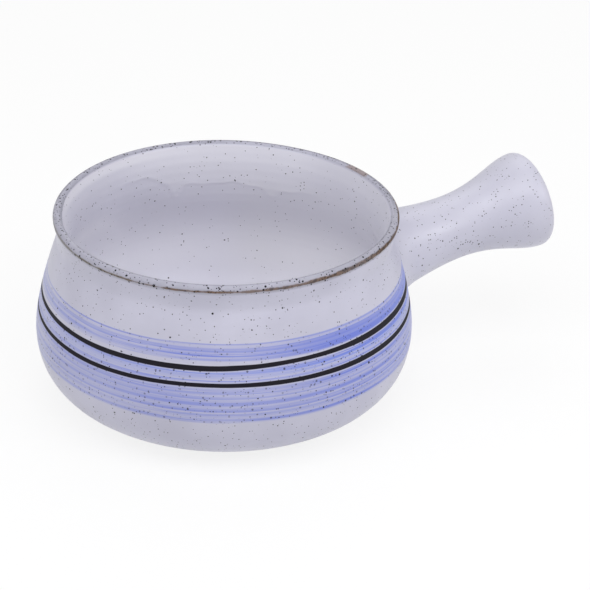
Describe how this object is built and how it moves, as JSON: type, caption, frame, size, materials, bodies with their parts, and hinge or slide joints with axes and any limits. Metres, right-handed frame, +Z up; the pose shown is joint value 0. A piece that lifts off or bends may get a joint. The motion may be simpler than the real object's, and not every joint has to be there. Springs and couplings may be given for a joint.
{
  "type": "skillet bowl",
  "caption": "Round stoneware soup bowl with an everted lip, a full belly, a low foot ring and a hollow flared stick handle, in speckled glaze with painted bands.",
  "frame": {"origin": "on the table, under the middle of the whole length from the bowl's far side to the handle's end", "axes": "+X along the handle, away from the bowl; +Z up along the bowl's axis"},
  "size_m": [0.2027, 0.14, 0.0741],
  "materials": {
    "bowl_glaze": "speckled lavender white glaze, satin gloss, with blue and black bands and an iron brown lip",
    "handle_glaze": "speckled lavender white glaze, satin gloss",
    "joint_glaze": "speckled lavender white glaze, satin gloss"
  },
  "bodies": {
    "root": {"bowl": "bowl_glaze", "handle": "handle_glaze", "handle_joint": "joint_glaze"}
  },
  "joints": []
}
